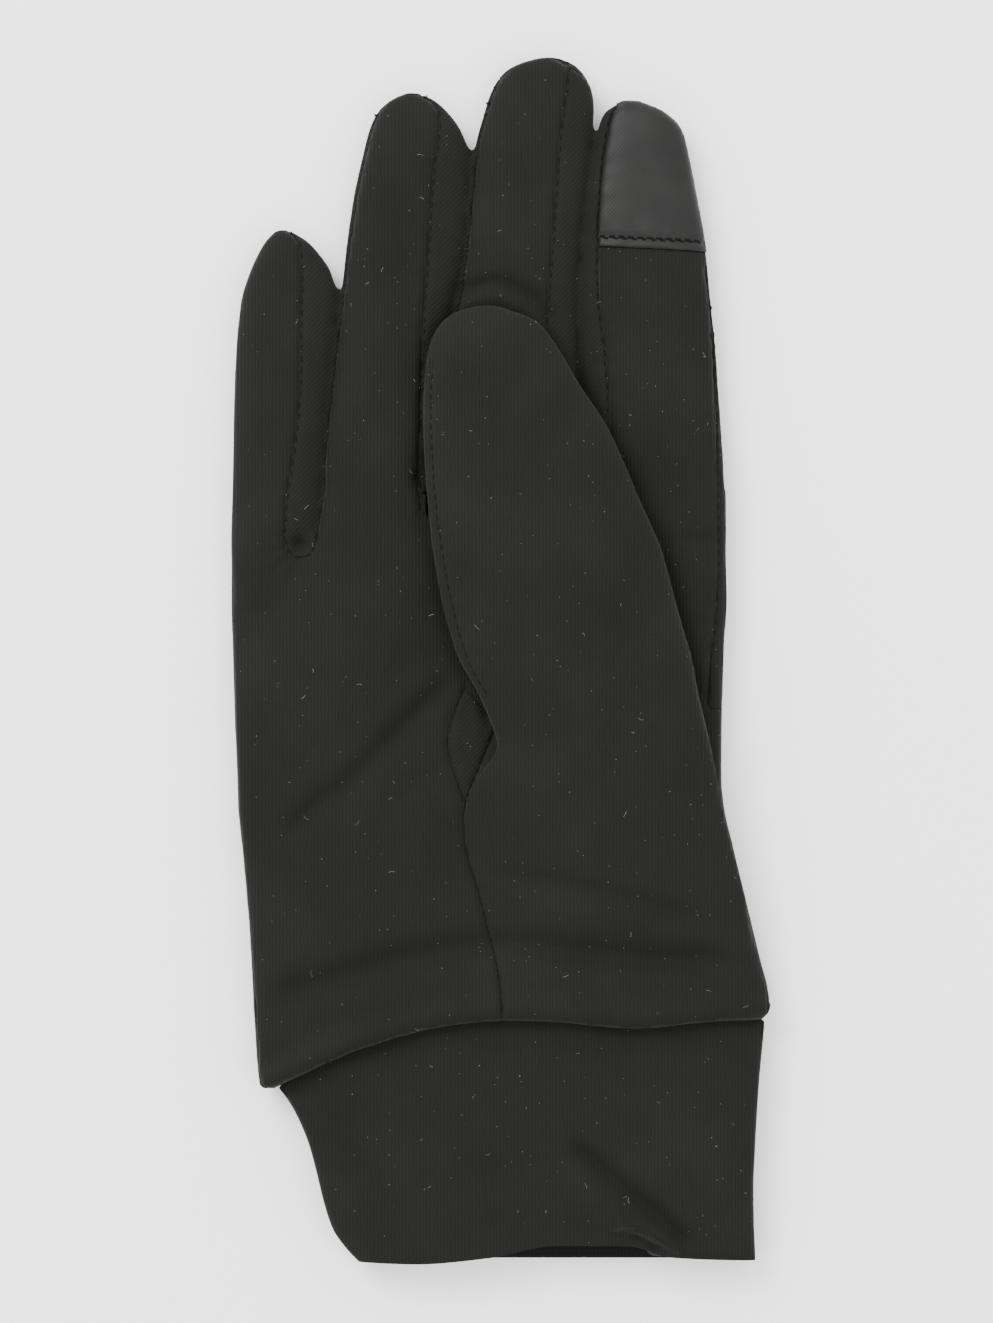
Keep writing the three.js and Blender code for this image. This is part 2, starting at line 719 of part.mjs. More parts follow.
// A sliver is a triangle with a corner all but on its longest side: that side is turned so
// that it joins this corner to the one across
function turnSlivers(triangles, points) {
  const across = new Map();
  triangles.forEach((triangle, index) => {
    triangle.forEach((corner, side) => across.set(`${corner} ${triangle[(side + 1) % 3]}`, index));
  });
  const turned = new Set();
  triangles.forEach((triangle, index) => {
    if (turned.has(index)) return;
    const lengths = triangle.map((corner, side) => points[corner]
      .distanceTo(points[triangle[(side + 1) % 3]]));
    const side = lengths.indexOf(Math.max(...lengths));
    const [a, b, c] = [0, 1, 2].map((step) => triangle[(side + step) % 3]);
    const face = new THREE.Triangle(points[a], points[b], points[c]);
    if (2 * face.getArea() / lengths[side] > sliverHeight) return;
    const neighbour = across.get(`${b} ${a}`);
    if (neighbour === undefined || turned.has(neighbour)) return;
    const d = triangles[neighbour].find((corner) => corner !== a && corner !== b);
    if (d === c || across.has(`${c} ${d}`) || across.has(`${d} ${c}`)) return;
    triangles[index] = [a, d, c];
    triangles[neighbour] = [d, b, c];
    turned.add(index).add(neighbour);
  });
  return turned.size;
}

const joined = (solids) => solids.reduce((sum, solid) => sum.add(solid));
const outside = joined([palmSolid(0, 0), ...fingerNames.map((name) => fingerSolid(name, 0)),
  thumbSolid(0)]);
const inside = joined([palmSolid(wall, clearEnd), ...fingerNames.map((name) => fingerSolid(name, wall)),
  thumbSolid(wall)]);
const shell = outside.subtract(inside);

const thumbVolume = thumbSolid(0);
const thumbClear = thumbSolid(-seamGap);
const upper = shell.intersect(slab(upperBottom, clearTop));
const lower = shell.intersect(slab(-1, rimHeight - seamGap / 2));
const upperRest = upper.subtract(thumbClear);

const strips = [['little', 'ring'], ['ring', 'middle'], ['middle', 'index']];
const stripCuts = joined(strips.map(([name, next]) => fourchetteCutter(name, next, seamGap)));

const pieces = {};
pieces.back_panel = lower.subtract(stripCuts);
pieces.thumb = upper.intersect(thumbVolume.add(thumbBaseCutter(0)));
pieces.thumb_gusset = upperRest.intersect(gussetCutter(0)).subtract(thumbBaseCutter(seamGap));
pieces.touch_patch = upperRest.intersect(patchCutter(0)).subtract(stripCuts);
for (const [name, next] of strips) {
  pieces[`fourchette_${name}_${next}`] = shell.subtract(thumbClear)
    .intersect(fourchetteCutter(name, next, 0));
}
pieces.palm_panel = upperRest.subtract(stripCuts).subtract(thumbBaseCutter(seamGap))
  .subtract(gussetCutter(seamGap)).subtract(patchCutter(seamGap));
// The hand's cloth at the hem, grown by the gap that the cuff keeps to it
const hemClear = palmSolid(-seamGap, seamGap).subtract(palmSolid(wall + tuckGap, clearEnd));
pieces.cuff = cuffSolid(0, 0).subtract(cuffSolid(cuffWall, clearEnd)).subtract(hemClear);

function toMesh(name, solid) {
  const { vertProperties, triVerts } = solid.getMesh();
  const cut = new THREE.BufferGeometry();
  cut.setAttribute('position', new THREE.Float32BufferAttribute(vertProperties, 3));
  cut.setIndex(Array.from(triVerts));
  const merged = mergeVertices(cut, mergeDistance);
  const { position } = merged.attributes;
  const points = Array.from({ length: position.count },
    (_, index) => new THREE.Vector3().fromBufferAttribute(position, index));
  const triangles = largestBody(trianglesOf(merged), points);
  for (let round = 0; round < 6 && turnSlivers(triangles, points) > 0; round += 1);
  const geometry = new THREE.BufferGeometry().setFromPoints(points);
  geometry.setIndex(triangles.flat());
  geometry.computeVertexNormals();
  const material = new THREE.MeshStandardMaterial({
    color: name === 'touch_patch' ? patchColour : knitColour,
    roughness: name === 'touch_patch' ? 0.5 : 0.95,
    metalness: 0,
  });
  const mesh = new THREE.Mesh(geometry, material);
  mesh.name = name;
  return mesh;
}

const group = new THREE.Group();
for (const [name, solid] of Object.entries(pieces)) {
  group.add(toMesh(name, solid));
}
// The origin lies on the table under the middle of the glove
const box = new THREE.Box3().setFromObject(group);
const middle = box.getCenter(new THREE.Vector3());
group.position.set(-middle.x, -middle.y, -box.min.z);

export default group;
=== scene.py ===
import math

import bpy
import numpy as np
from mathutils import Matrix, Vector
from mathutils.bvhtree import BVHTree


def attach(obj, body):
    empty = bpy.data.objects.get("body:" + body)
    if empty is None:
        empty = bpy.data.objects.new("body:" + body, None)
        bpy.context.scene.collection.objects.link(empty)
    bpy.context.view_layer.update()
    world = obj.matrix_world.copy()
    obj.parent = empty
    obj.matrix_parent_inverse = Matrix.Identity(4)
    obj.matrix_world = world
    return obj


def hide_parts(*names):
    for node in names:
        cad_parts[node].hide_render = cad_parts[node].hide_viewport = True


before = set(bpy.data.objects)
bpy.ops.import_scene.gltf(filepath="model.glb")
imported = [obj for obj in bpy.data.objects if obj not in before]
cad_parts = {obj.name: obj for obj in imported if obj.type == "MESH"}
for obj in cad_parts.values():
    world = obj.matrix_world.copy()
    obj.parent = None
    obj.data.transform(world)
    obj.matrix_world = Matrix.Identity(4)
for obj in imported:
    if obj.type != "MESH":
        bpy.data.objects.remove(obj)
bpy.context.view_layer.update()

# A knitted glove liner, palm up. Lengths are in millimetres from the wrist line on the hand's
# axis, and become metres in the frame when a mesh is made.
mm = 0.001
frameShift = np.array([-0.06, -72.31, 0.0])  # wrist line and hand axis in the frame

hand = {
    "palmLength": 100,
    "palmThickness": 9.8,
    "rootThickness": 8.5,  # under the thumb, and where the fingers begin
    "seamHeight": 4.2,  # where the sections are widest
    "rimHeight": 5.2,  # palm side cut from the back panel
    "rimClimb": 1.4,  # and higher by this at the hem
    "stripHeight": 1.8,  # side strips cut from the back panel
    "patchHeight": 4.8,  # the film wraps down to here at the fingertip
    "hemDrop": 13.6,
    "hemDip": 1.6,
    "roundness": 4.2,
    "undersideFlatness": 1.35,
    "hemBulge": 1.5,
    "hemRoll": 0.8,
    "crotch": 44,  # from here up the thumb lies loose on the palm
    "fingersFrom": 92,  # from here up the skin is as thick as the fingers
    "voxel": 0.62,
    "backShare": 0.75,  # of the back panel's triangles kept: most of it lies flat and unseen
    "cloth": 1.0,
    "filmRaised": 0.3,  # the film lies on the jersey
}
fingers = {
    "little": {
        "length": 65.9, "width": 20, "thickness": 8.4, "lean": 3.0, "rootWidth": 0.69,
        "rootAlong": 0.926,
        "along": [-0.15, 0.05, 0.17, 0.33, 0.48, 0.63, 0.78, 0.87, 0.93, 0.965, 1],
        "left": [0.28, 0.354, 0.365, 0.382, 0.399, 0.405, 0.382, 0.308, 0.228, 0.164, 0.06],
        "right": [0.47, 0.51, 0.525, 0.535, 0.55, 0.578, 0.588, 0.512, 0.372, 0.256, 0.06],
        "height": [0.95, 1, 1, 1, 1, 1, 0.98, 0.9, 0.77, 0.62, 0.3],
    },
    "ring": {
        "length": 87.4, "width": 22, "thickness": 8.5, "lean": 6.5, "rootWidth": 1.155,
        "rootAlong": 0.99,
        "along": [-0.12, 0.06, 0.17, 0.4, 0.52, 0.63, 0.75, 0.85, 0.91, 0.956, 0.985, 1],
        "left": [0.5, 0.403, 0.428, 0.441, 0.438, 0.444, 0.432, 0.392, 0.36, 0.298, 0.18, 0.06],
        "right": [0.57, 0.575, 0.565, 0.57, 0.592, 0.628, 0.618, 0.594, 0.495, 0.347, 0.2, 0.06],
        "height": [1, 1, 1, 1, 1, 1, 1, 0.97, 0.86, 0.7, 0.5, 0.3],
    },
    "middle": {
        "length": 87.2, "width": 24, "thickness": 8.5, "lean": 6.0, "rootWidth": 1.29,
        "rootAlong": 1.063,
        "along": [-0.12, 0.09, 0.2, 0.43, 0.55, 0.67, 0.78, 0.87, 0.92, 0.965, 0.988, 1],
        "left": [0.58, 0.602, 0.596, 0.56, 0.526, 0.536, 0.54, 0.494, 0.453, 0.362, 0.22, 0.06],
        "right": [0.58, 0.585, 0.535, 0.455, 0.432, 0.43, 0.436, 0.431, 0.397, 0.296, 0.19,
                  0.06],
        "height": [1, 1, 1, 1, 1, 1, 1, 0.95, 0.85, 0.68, 0.48, 0.3],
    },
    "index": {
        "length": 77.6, "width": 24, "thickness": 8.5, "lean": -3.0, "rootWidth": 1.21,
        "rootAlong": 1.065,
        "along": [-0.12, 0.1, 0.23, 0.36, 0.48, 0.61, 0.74, 0.87, 0.923, 0.974, 1],
        "left": [0.54, 0.588, 0.566, 0.552, 0.522, 0.483, 0.419, 0.339, 0.305, 0.238, 0.1],
        "right": [0.6, 0.604, 0.597, 0.59, 0.57, 0.551, 0.498, 0.436, 0.403, 0.254, 0.06],
        "height": [0.95, 1, 1, 1, 1, 1, 0.98, 0.9, 0.8, 0.62, 0.35],
    },
}
fingerRoundness = 2.7

# Seams of the side strips: share of the finger's length, share of the way from axis to edge
rightSeams = {
    "little": {"along": [0.07, 0.17, 0.26, 0.48, 0.78, 0.87, 0.965, 1],
               "across": [0.36, 0.36, 0.415, 0.485, 0.4, 0.43, 0.65, 0.9]},
    "ring": {"along": [0.02, 0.08, 0.17, 0.29, 0.43, 0.63, 0.82, 0.91, 0.956, 1],
             "across": [0.93, 0.9, 0.79, 0.72, 0.62, 0.5, 0.46, 0.58, 0.74, 0.95]},
    "middle": {"along": [-0.02, 0.39, 0.53, 0.67, 0.83, 0.92, 0.955, 1],
               "across": [0.5, 0.46, 0.46, 0.42, 0.38, 0.45, 0.55, 0.9]},
}
leftSeams = {
    "ring": {"along": [0.03, 0.2, 0.9, 0.97], "across": [0.98, 0.96, 0.93, 1.0]},
    "middle": {"along": [-0.04, 0.9, 0.97], "across": [0.97, 0.96, 1.0]},
    "index": {"along": [-0.02, 0.2, 0.36, 0.48, 0.64, 0.87, 0.92, 0.99],
              "across": [0.6, 0.59, 0.62, 0.71, 0.75, 0.78, 0.73, 0.7]},
}
palm = {
    "along": [0, 0.02, 0.06, 0.11, 0.22, 0.29, 0.36, 0.42, 0.48, 0.6, 0.76, 0.84, 0.92],
    "left": [0.462, 0.487, 0.493, 0.498, 0.508, 0.517, 0.525, 0.531, 0.533, 0.538, 0.543, 0.545,
             0.545],
    "right": [0.54, 0.547, 0.543, 0.53, 0.503, 0.486, 0.469, 0.455, 0.449, 0.45, 0.455, 0.46,
              0.458],
}
forkLine = {
    "across": [-0.545, -0.406, -0.278, -0.15, 0.005, 0.16, 0.46],
    "along": [0.94, 0.924, 1.0, 1.056, 1.066, 1.07, 1.06],
}
thumb = {
    "length": 83.6, "width": 42.4, "thickness": 7.8, "lean": 15.4, "lies": 9.0,
    "rootAcross": 0.2098, "rootAlong": 0.59,
    "sink": 0.75,  # how far the cloth beneath gives way under the thumb
    "lift": 0.35,
    "along": [-0.58, -0.555, -0.49, -0.395, -0.3, -0.19, -0.12, -0.036, 0.06, 0.18, 0.25, 0.395,
              0.54, 0.706, 0.813, 0.909, 0.945, 0.97, 0.988, 1],
    "left": [0.81, 0.81, 0.813, 0.81, 0.808, 0.76, 0.655, 0.528, 0.55, 0.606, 0.609, 0.588,
             0.542, 0.471, 0.408, 0.328, 0.275, 0.22, 0.148, 0.05],
    "right": [0.405, 0.41, 0.427, 0.446, 0.449, 0.457, 0.468, 0.476, 0.481, 0.498, 0.495, 0.497,
              0.457, 0.402, 0.323, 0.262, 0.23, 0.181, 0.097, 0.04],
    "under": [0.6, 0.6, 0.6, 0.6, 0.6, 0.6, 0.68, 0.8, 0.95, 1, 1, 1, 1, 1, 1, 1, 1.01, 1.03,
              1.06, 1.1],
    "height": [0.32, 0.56, 0.7, 0.87, 1.02, 1.16, 1.17, 1.13, 1.03, 1, 1, 1, 1, 1, 0.97, 0.88,
               0.78, 0.66, 0.5, 0.3],
    "roundness": [2, 2, 2, 1.9, 1.7, 1.6, 1.7, 2.2, 2.7, 2.7, 2.7, 2.7, 2.7, 2.7, 2.7, 2.7, 2.7,
                  2.7, 2.7, 2.7],
}
cuff = {
    "length": 48.4, "width": 97.8, "thickness": 9.5, "roundness": 4.6, "cloth": 1.5,
    "tuck": 1.4,  # how much narrower its hidden end is
    "pressed": 2.4,  # how far the hem presses its top down
    "along": [0, 0.1, 0.25, 0.4, 0.55, 0.7, 0.85, 0.95, 1],
    "left": [0.457, 0.437, 0.412, 0.392, 0.377, 0.363, 0.343, 0.314, 0.293],
    "right": [0.543, 0.539, 0.532, 0.527, 0.523, 0.52, 0.521, 0.523, 0.524],
    "height": [1, 1, 0.98, 0.97, 0.98, 1, 1, 0.98, 0.94],
}


# A smooth curve through a table's rows, without overshoot
def curveThrough(xs, ys):
    xs, ys = np.asarray(xs, float), np.asarray(ys, float)
    step = np.diff(xs)
    slope = np.diff(ys) / step
    tangent = np.concatenate([slope[:1], np.zeros(len(xs) - 2), slope[-1:]])
    same = slope[:-1] * slope[1:] > 0
    before, after = 2 * step[1:] + step[:-1], step[1:] + 2 * step[:-1]
    safe = np.where(slope == 0, 1, slope)
    mean = (before + after) / (before / safe[:-1] + after / safe[1:])
    tangent[1:-1] = np.where(same, mean, 0)

    def value(x):
        x = np.clip(x, xs[0], xs[-1])
        i = np.clip(np.searchsorted(xs, x) - 1, 0, len(xs) - 2)
        t = (x - xs[i]) / step[i]
        rise = ys[i + 1] - ys[i]
        start, end = tangent[i] * step[i], tangent[i + 1] * step[i]
        bend, twist = 3 * rise - 2 * start - end, start + end - 2 * rise
        return ys[i] + t * (start + t * (bend + t * twist))

    return value


def smooth(low, high, value):
    t = np.clip((value - low) / (high - low), 0, 1)
    return t * t * (3 - 2 * t)


def column(table, key):
    return curveThrough(table["along"], table[key])


handWidth = sum(f["width"] * f["rootWidth"] for f in fingers.values())
fingerNames = list(fingers)
forkAlong = curveThrough([a * handWidth for a in forkLine["across"]],
                         [a * hand["palmLength"] for a in forkLine["along"]])


def hemY(x):
    across = x / handWidth
    littleSide = np.minimum(0, across - 0.03) / 0.48
    thumbSide = np.exp(-(((across - 0.27) / 0.12) ** 2))
    return -hand["hemDrop"] * littleSide ** 2 - hand["hemDip"] * thumbSide


def thumbEdges(y):
    along = (y - thumb["rootAlong"] * hand["palmLength"]) / thumb["length"]
    lean = math.tan(math.radians(thumb["lean"]))
    axis = thumb["rootAcross"] * handWidth - thumb["length"] * along * lean
    left = axis - thumb["width"] * column(thumb, "left")(along)
    right = axis + thumb["width"] * column(thumb, "right")(along)
    return along, left, right


# How far a point lies inside the thumb's outline, above the crotch
def insideThumb(x, y):
    along, left, right = thumbEdges(y)
    tip = (1 - along) * thumb["length"]
    return np.minimum(np.minimum(x - left, right - x), tip)


def thumbSink(x, y):
    along = thumbEdges(y)[0]
    return thumb["sink"] * smooth(-2, 0.5, insideThumb(x, y)) * smooth(0.0, 0.1, along)


def palmTop(x, y):
    across, along = x / handWidth, y / hand["palmLength"]
    under = smooth(-0.3, -0.12, across) * smooth(0.35, 0.6, along)
    lower = np.maximum(under, smooth(0.6, 0.92, along))
    return hand["palmThickness"] + (hand["rootThickness"] - hand["palmThickness"]) * lower


# One ring of a flat section: over its upper side, then back along its underside
def sectionRing(left, right, seam, top, under, yAt, roundness, columns, flatness):
    turn = np.linspace(0, 1, columns + 1)
    shares = (2 * turn - 1 - np.cos(math.pi * turn)) / 2
    x = (left + right) / 2 + shares * (right - left) / 2
    y = yAt(x)
    rounding = np.clip(1 - np.abs(shares) ** roundness, 0, 1) ** (1 / roundness)
    upper = seam + np.maximum(top(x, y) - seam, 0.1) * rounding
    lower = seam - max(seam - under, 0.1) * np.minimum(1, flatness * rounding)
    above = np.stack([x, y, upper], 1)
    below = np.stack([x, y, lower], 1)[1:-1][::-1]
    return np.concatenate([above, below])


def makeMesh(name, points, faces):
    mesh = bpy.data.meshes.new(name)
    mesh.from_pydata(((np.asarray(points) + frameShift) * mm).tolist(), [], faces)
    mesh.update()
    piece = bpy.data.objects.new(name, mesh)
    bpy.context.scene.collection.objects.link(piece)
    return piece


def ringFaces(rings, count, closed=True):
    faces = []
    for ring in range(rings - 1):
        for side in range(count):
            a, b = ring * count + side, ring * count + (side + 1) % count
            faces.append((a, b, b + count, a + count))
    if closed:
        faces.append(tuple(range(count))[::-1])
        faces.append(tuple(range((rings - 1) * count, rings * count)))
    return faces


def selectOnly(*pieces):
    bpy.ops.object.select_all(action="DESELECT")
    for piece in pieces:
        piece.select_set(True)
    bpy.context.view_layer.objects.active = pieces[0]


def applyModifier(piece, kind, **settings):
    modifier = piece.modifiers.new(kind.title(), kind)
    for key, value in settings.items():
        setattr(modifier, key, value)
    selectOnly(piece)
    bpy.ops.object.modifier_apply(modifier=modifier.name)


def shadeSmooth(piece):
    selectOnly(piece)
    bpy.ops.object.shade_smooth()


def meshPoints(piece):
    mesh = piece.data
    flat = np.empty(len(mesh.vertices) * 3, np.float32)
    mesh.vertices.foreach_get("co", flat)
    return flat.reshape(-1, 3).astype(float) / mm - frameShift


def meshNormals(piece):
    mesh = piece.data
    flat = np.empty(len(mesh.vertices) * 3, np.float32)
    mesh.vertex_normals.foreach_get("vector", flat)
    return flat.reshape(-1, 3).astype(float)


def setPoints(piece, points):
    flat = ((points + frameShift) * mm).astype(np.float32).ravel()
    piece.data.vertices.foreach_set("co", flat)
    piece.data.update()


def fingerFrame(name):
    f = fingers[name]
    x = forkLine["across"][0] * handWidth
    for before in fingerNames[:fingerNames.index(name)]:
        x += fingers[before]["width"] * fingers[before]["rootWidth"]
    rootX = x + f["width"] * f["rootWidth"] / 2
    rootY = hand["palmLength"] * f["rootAlong"]
    lean = math.radians(f["lean"])

    def axis(along):
        return rootX + f["length"] * along * math.sin(lean)

    def yAt(along):
        return rootY + f["length"] * along * math.cos(lean)

    def edge(along, side):
        reach = f["width"] * column(f, side)(along)
        return axis(along) + (reach if side == "right" else -reach)

    return axis, yAt, edge


def fingerRings(name):
    f = fingers[name]
    _, yAt, edge = fingerFrame(name)
    first = f["along"][0]
    steps = np.concatenate([np.linspace(first, 0.85, 70), np.linspace(0.85, 1, 40)[1:]])
    seam = hand["seamHeight"]
    rings = []
    for along in steps:
        height = float(column(f, "height")(along))
        top = seam + (f["thickness"] - seam) * height
        roundness = hand["roundness"] + (fingerRoundness - hand["roundness"]) * smooth(
            -0.1, 0.3, along)
        rings.append(sectionRing(
            edge(along, "left"), edge(along, "right"), seam,
            lambda x, y: top - thumbSink(x, y), seam * (1 - min(1, height * 1.15)),
            lambda x: np.full_like(x, yAt(along)), roundness, 40, hand["undersideFlatness"]))
    return rings


def palmRings():
    left, right = column(palm, "left"), column(palm, "right")
    rings = []
    for along in np.linspace(-0.08, 0.92, 110):
        hemShare = 1 - smooth(0, 0.34, along)
        rings.append(sectionRing(
            -handWidth * left(along), handWidth * right(along), hand["seamHeight"],
            lambda x, y: palmTop(x, y) - thumbSink(x, y), 0,
            lambda x: hand["palmLength"] * along + hemY(x) * hemShare,
            hand["roundness"], 90, hand["undersideFlatness"]))
    rings.append(sectionRing(
        -handWidth * palm["left"][-1], handWidth * palm["right"][-1], hand["seamHeight"],
        lambda x, y: palmTop(x, y) - thumbSink(x, y), 0, forkAlong,
        hand["roundness"], 90, hand["undersideFlatness"]))
    return rings


def thumbRings():
    rings = []
    steps = np.concatenate([np.linspace(-0.58, 0.85, 110), np.linspace(0.85, 1, 40)[1:]])
    for along in steps:
        y = thumb["rootAlong"] * hand["palmLength"] + thumb["length"] * along
        _, left, right = thumbEdges(y)
        under = thumb["lies"] * float(column(thumb, "under")(along))
        top = under + thumb["thickness"] * float(column(thumb, "height")(along))
        under += thumb["lift"] * smooth(0.0, 0.1, along)
        rings.append(sectionRing(
            left, right, (under + top) / 2, lambda x, y: np.full_like(x, top), under,
            lambda x: np.full_like(x, y), float(column(thumb, "roundness")(along)), 60,
            hand["undersideFlatness"]))
    return rings


def loftPiece(name, rings):
    return makeMesh(name, np.concatenate(rings), ringFaces(len(rings), len(rings[0])))


parts = [loftPiece("glove_skin", palmRings()), loftPiece("thumb_loft", thumbRings())]
parts += [loftPiece(name + "_loft", fingerRings(name)) for name in fingerNames]
print("hand, fingers and thumb lofted")
selectOnly(*parts)
bpy.ops.object.join()
skin = parts[0]
applyModifier(skin, "REMESH", mode="VOXEL", voxel_size=hand["voxel"] * mm)
applyModifier(skin, "SMOOTH", factor=0.5, iterations=8)
print("skin remeshed:", len(skin.data.vertices), "points")


# Distance from points to a line of points in plan, signed: more than 0 on its left side
def lineDistance(points, line):
    best = np.full(len(points), 1e9)
    signed = np.zeros(len(points))
    nearest = np.zeros((len(points), 2))
    travel = np.zeros(len(points))
    run = 0.0
    for a, b in zip(line[:-1], line[1:]):
        d = b - a
        size = math.hypot(*d)
        rel = points[:, :2] - a
        t = np.clip(rel @ d / size ** 2, 0, 1)
        foot = a + t[:, None] * d
        away = points[:, :2] - foot
        dist = np.hypot(away[:, 0], away[:, 1])
        side = np.sign(d[0] * rel[:, 1] - d[1] * rel[:, 0])
        closer = dist < best
        best = np.where(closer, dist, best)
        signed = np.where(closer, side * dist, signed)
        nearest = np.where(closer[:, None], foot, nearest)
        travel = np.where(closer, run + t * size, travel)
        run += size
    return signed, nearest, travel


def insidePolygon(points, polygon):
    x, y = points[:, 0], points[:, 1]
    inside = np.zeros(len(points), bool)
    for (ax, ay), (bx, by) in zip(polygon, np.roll(polygon, -1, 0)):
        crosses = (ay > y) != (by > y)
        edge = (bx - ax) * (y - ay) / (by - ay + 1e-12) + ax
        inside ^= crosses & (x < edge)
    return inside


seamSteps = {"finger": 60, "fork": 12}


def seamLine(name, table, side):
    axis, yAt, edge = fingerFrame(name)
    steps = np.linspace(table["along"][0], table["along"][-1], seamSteps["finger"])
    across = column(table, "across")(steps)
    x = axis(steps) + (edge(steps, side) - axis(steps)) * across
    return np.stack([x, yAt(steps)], 1)


def spline(points, count=60):
    points = np.asarray(points, float)
    run = np.concatenate([[0], np.cumsum(np.hypot(*np.diff(points, axis=0).T))])
    steps = np.linspace(0, run[-1], count)
    return np.stack([curveThrough(run, points[:, i])(steps) for i in (0, 1)], 1)


# Each side strip's seam: down one finger, round the fork and up the next
forks = {
    ("little", "ring"): [(-43.3, 96.4), (-42.5, 93.9), (-40.6, 92.2), (-38.4, 92.5),
                         (-36.9, 94.8), (-36.4, 99)],
    ("ring", "middle"): [(-16.5, 108.5), (-15.8, 105.6), (-14.3, 105.2)],
    ("middle", "index"): [(12.0, 106), (15.5, 104), (19.5, 105.5)],
}
stripSeams = {}
for (first, second), bottom in forks.items():
    down = seamLine(first, rightSeams[first], "right")[::-1]
    up = seamLine(second, leftSeams[second], "left")
    stripSeams[first, second] = np.concatenate([down, spline(bottom, seamSteps["fork"]), up])


def inPlan(pairs):
    return [(across * handWidth, along * hand["palmLength"]) for across, along in pairs]


thumbSeam = spline(inPlan([
    (-0.007, 0.59), (-0.045, 0.5), (-0.071, 0.43), (-0.075, 0.4), (-0.069, 0.34),
    (-0.045, 0.26), (-0.025, 0.18), (-0.001, 0.07), (0.011, -0.1)]), 90)
gusset = np.array(inPlan([(-0.071, 0.43), (-0.107, 0.56), (-0.071, 0.67), (-0.007, 0.59)]))
thumbBase = np.concatenate([thumbSeam, inPlan([(0.7, -0.1), (0.7, 0.36), (0.45, 0.44)])])
gussetSeam = spline(gusset[[0, 1, 2]], 30)
patchEdge = np.array([(18.6, 154.8), (41.5, 153.8)])
patchStitches = patchEdge + (0.1, 1.9)
thumbEdgeSeam = spline(np.array([
    (-13.6, 130), (-13.9, 122), (-13.5, 110), (-12.8, 102), (-11.5, 92.5), (-9.1, 80.5),
    (-5.9, 70.5), (-2.4, 64.6)]), 60)
sideSeam = spline(np.array([
    (41.1, 150.5), (42.1, 144), (43.1, 130), (43.4, 118), (43.5, 104), (43.6, 92),
    (43.1, 80), (42.2, 73), (41.4, 62)]), 60)
print("seams drawn")


# The skin's upper side without the thumb
def baseAt(x, y):
    return np.where(y < hand["fingersFrom"], palmTop(x, y), hand["rootThickness"])


points = meshPoints(skin)
normals = meshNormals(skin)
x, y, z = points.T
looseThumb = 0.35  # above the palm by this much, the skin is the thumb's
onThumb = (y > hand["crotch"]) & (z > baseAt(x, y) + looseThumb) & (insideThumb(x, y) > -1)
plainUpper = (normals[:, 2] > 0.15) & (z > hand["seamHeight"]) & ~onThumb
snapReach = hand["voxel"] * 0.52  # points nearer than this move onto a seam
allSeams = [*stripSeams.values(), thumbSeam, gussetSeam, patchEdge, sideSeam]
for line in allSeams:
    signed, foot, _ = lineDistance(points, line)
    near = plainUpper & (np.abs(signed) < snapReach)
    points[near, :2] = foot[near]
hemGap = points[:, 1] - hemY(points[:, 0])
near = np.abs(hemGap) < snapReach
points[near, 1] -= hemGap[near]


# The seam along the rim climbs towards the hem
def rimAt(y):
    return hand["rimHeight"] + hand["rimClimb"] * smooth(22, 3, y)


inStrip = np.zeros(len(points), bool)
for line in stripSeams.values():
    inStrip |= insidePolygon(points, line)
edgeHeight = np.where(inStrip, hand["stripHeight"], rimAt(points[:, 1]))
near = (np.abs(points[:, 2] - edgeHeight) < snapReach) & (np.abs(normals[:, 2]) < 0.8)
near &= ~onThumb
points[near, 2] = edgeHeight[near]

faceCount = len(skin.data.polygons)
corners = np.empty(faceCount * 4, np.int32)
skin.data.polygons.foreach_get("vertices", corners)
corners = corners.reshape(-1, 4)
centres = points[corners].mean(1)
cx, cy, cz = centres.T
faceBase = baseAt(cx, cy)
upper = cz > rimAt(cy)
sideX = curveThrough(sideSeam[::-1, 1], sideSeam[::-1, 0])
sideTop, sideEnd = sideSeam[0, 1], sideSeam[-1, 1]
wrapped = upper & (cx > sideX(cy)) & (cy > sideEnd) & (cy < sideTop) & (cz < faceBase + 0.3)
thumbTube = (cy > hand["crotch"]) & (cz > faceBase + looseThumb) & (insideThumb(cx, cy) > -1.2)
inBase = insidePolygon(centres, thumbBase)
label = np.full(faceCount, "palm_panel", dtype="<U28")
faceInStrip = np.zeros(faceCount, bool)
for (first, second), line in stripSeams.items():
    inside = insidePolygon(centres, line)
    label[inside] = "fourchette_%s_%s" % (first, second)
    faceInStrip |= inside
upper |= faceInStrip & (cz > hand["stripHeight"])
inIndex = (cx > seamLine("index", leftSeams["index"], "left")[-1, 0] - 6) & (cy > 150)
abovePatch = lineDistance(centres, patchEdge)[0] > 0
onPatch = inIndex & abovePatch & (label == "palm_panel")
label[onPatch] = "touch_patch"
upper |= onPatch & (cz > hand["patchHeight"])
label[insidePolygon(centres, gusset)] = "thumb_gusset"
label[inBase & ~faceInStrip | thumbTube] = "thumb"
label[(~upper | wrapped) & ~thumbTube] = "back_panel"
label[cy < hemY(cx)] = ""
# On the steep sides each face takes the label most common around it, so that no stray bits stay
names, owner = np.unique(label, return_inverse=True)
steep = (np.abs(normals[corners, 2].mean(1)) < 0.55) & (cy > hemY(cx) + 2.5)
for _ in range(8):
    votes = np.zeros((len(points), len(names)))
    for k in range(4):
        np.add.at(votes, (corners[:, k], owner), 1)
    owner = np.where(steep, votes[corners].sum(1).argmax(1), owner)
label = names[owner]


def wave(position, pitch, phase=0.0):
    return np.sin(2 * math.pi * position / pitch + phase)


